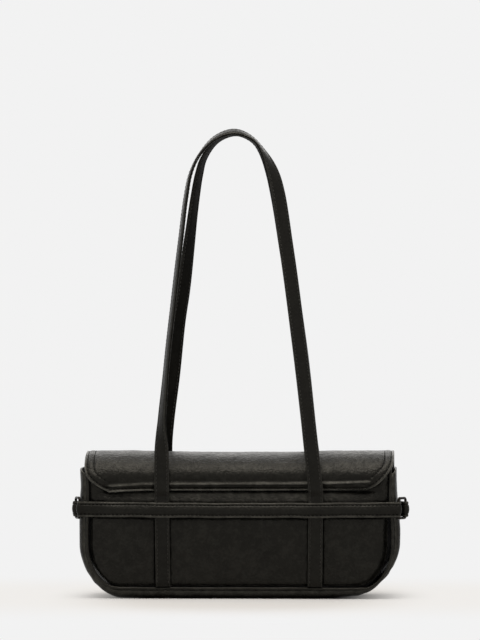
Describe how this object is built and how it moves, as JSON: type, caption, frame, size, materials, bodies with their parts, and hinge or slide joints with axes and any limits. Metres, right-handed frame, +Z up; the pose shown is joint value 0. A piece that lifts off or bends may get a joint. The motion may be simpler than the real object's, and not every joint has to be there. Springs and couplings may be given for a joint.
{
  "type": "shoulder bag",
  "caption": "Long, low leather shoulder bag with a magnetic flap, two tall strap handles and a belt round the body joined by side rings.",
  "frame": {"origin": "on the floor, under the middle of the bag", "axes": "+Z up, +X along the bag, -Y out of the back with the yoke, +Y out of the front where the flap opens"},
  "size_m": [0.3184, 0.0955, 0.4454],
  "materials": {
    "leather": "soft grained black leather with a low sheen",
    "leather_trim": "smooth black leather strap, stitched along both edges",
    "lining_cloth": "plain black woven lining",
    "stiffening_board": "unfinished bonded board",
    "gunmetal": "dark polished gunmetal plating",
    "snap_metal": "bright nickel plating"
  },
  "bodies": {
    "bag_body": {"back_panel": "leather", "front_panel": "leather", "back_stiffener": "stiffening_board", "front_stiffener": "stiffening_board", "gusset": "leather", "back_piping": "leather_trim", "front_piping": "leather_trim", "lining": "lining_cloth", "base_board": "stiffening_board", "inner_pocket": "lining_cloth", "back_yoke": "leather", "back_yoke_lining": "lining_cloth", "snap_socket": "snap_metal", "snap_socket_washer": "snap_metal", "back_belt": "leather_trim", "front_belt": "leather_trim", "back_left_strap_anchor": "leather_trim", "back_right_strap_anchor": "leather_trim", "front_left_strap_anchor": "leather_trim", "front_right_strap_anchor": "leather_trim"},
    "flap": {"flap": "leather", "flap_lining": "lining_cloth", "snap_stud": "snap_metal", "snap_stud_plate": "snap_metal"},
    "back_handle": {"back_handle_strap": "leather_trim", "back_handle_backing": "leather"},
    "front_handle": {"front_handle_strap": "leather_trim", "front_handle_backing": "leather"},
    "left_ring": {"left_ring": "gunmetal"},
    "right_ring": {"right_ring": "gunmetal"}
  },
  "joints": [
    {"name": "flap_open", "type": "hinge", "parent": "bag_body", "child": "flap", "pos_m": [0, -0.02, 0.13653], "axis": [1, 0, 0], "range_deg": [0, 100]},
    {"name": "back_handle_swing", "type": "hinge", "parent": "bag_body", "child": "back_handle", "pos_m": [0, -0.0436, 0.09362], "axis": [1, 0, 0], "range_deg": [0, 100]},
    {"name": "front_handle_swing", "type": "hinge", "parent": "bag_body", "child": "front_handle", "pos_m": [0, 0.0436, 0.09362], "axis": [-1, 0, 0], "range_deg": [0, 100]},
    {"name": "left_ring_swing", "type": "hinge", "parent": "bag_body", "child": "left_ring", "pos_m": [-0.151, -0.0432, 0.0843], "axis": [0, 0, 1], "range_deg": [-3, 3]},
    {"name": "right_ring_swing", "type": "hinge", "parent": "bag_body", "child": "right_ring", "pos_m": [0.151, -0.0432, 0.0843], "axis": [0, 0, 1], "range_deg": [-3, 3]}
  ]
}
